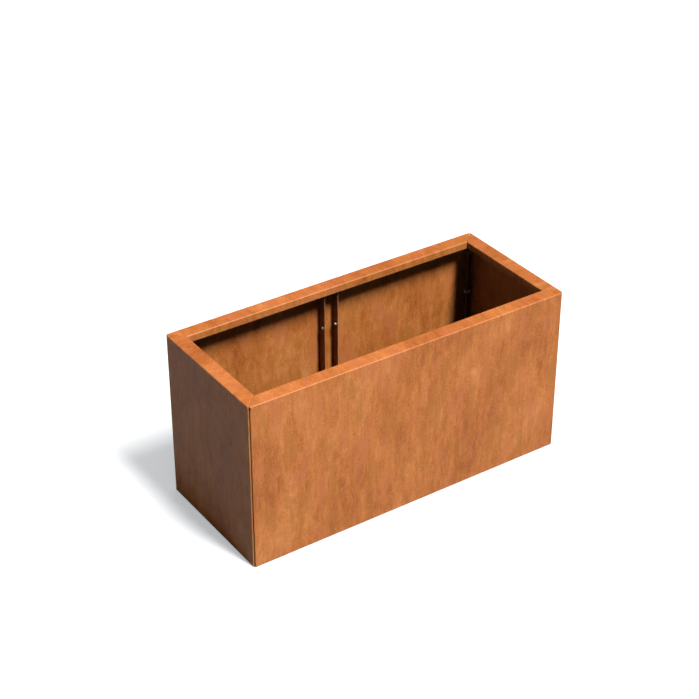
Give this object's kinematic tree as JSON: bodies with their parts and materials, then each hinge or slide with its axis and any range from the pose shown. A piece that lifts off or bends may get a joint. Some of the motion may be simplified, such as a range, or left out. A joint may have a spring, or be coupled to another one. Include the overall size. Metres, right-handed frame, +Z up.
{
  "type": "planter box",
  "caption": "Rectangular planter box folded from weathering-steel sheet, with a mitred flat rim, bolted corner flanges, inside stiffener channels and a loose drained base plate.",
  "frame": {"origin": "middle of the footprint, on the ground", "axes": "+X along the length, +Y from the front panel to the back panel, +Z up"},
  "size_m": [1.2, 0.5, 0.6],
  "materials": {
    "weathering_steel": "bare weathering steel with a matt, mottled orange-brown rust patina",
    "zinc_plated_steel": "dull zinc plating"
  },
  "bodies": {
    "root": {"front_panel": "weathering_steel", "back_panel": "weathering_steel", "left_end_panel": "weathering_steel", "right_end_panel": "weathering_steel", "front_stiffener": "weathering_steel", "back_stiffener": "weathering_steel", "base_plate": "weathering_steel", "front_left_corner_bolts": "zinc_plated_steel", "front_left_corner_nuts": "zinc_plated_steel", "front_left_corner_washers": "zinc_plated_steel", "front_right_corner_bolts": "zinc_plated_steel", "front_right_corner_nuts": "zinc_plated_steel", "front_right_corner_washers": "zinc_plated_steel", "back_left_corner_bolts": "zinc_plated_steel", "back_left_corner_nuts": "zinc_plated_steel", "back_left_corner_washers": "zinc_plated_steel", "back_right_corner_bolts": "zinc_plated_steel", "back_right_corner_nuts": "zinc_plated_steel", "back_right_corner_washers": "zinc_plated_steel", "front_brace_bolts": "zinc_plated_steel", "front_brace_nuts": "zinc_plated_steel", "front_brace_washers": "zinc_plated_steel", "back_brace_bolts": "zinc_plated_steel", "back_brace_nuts": "zinc_plated_steel", "back_brace_washers": "zinc_plated_steel"}
  },
  "joints": []
}
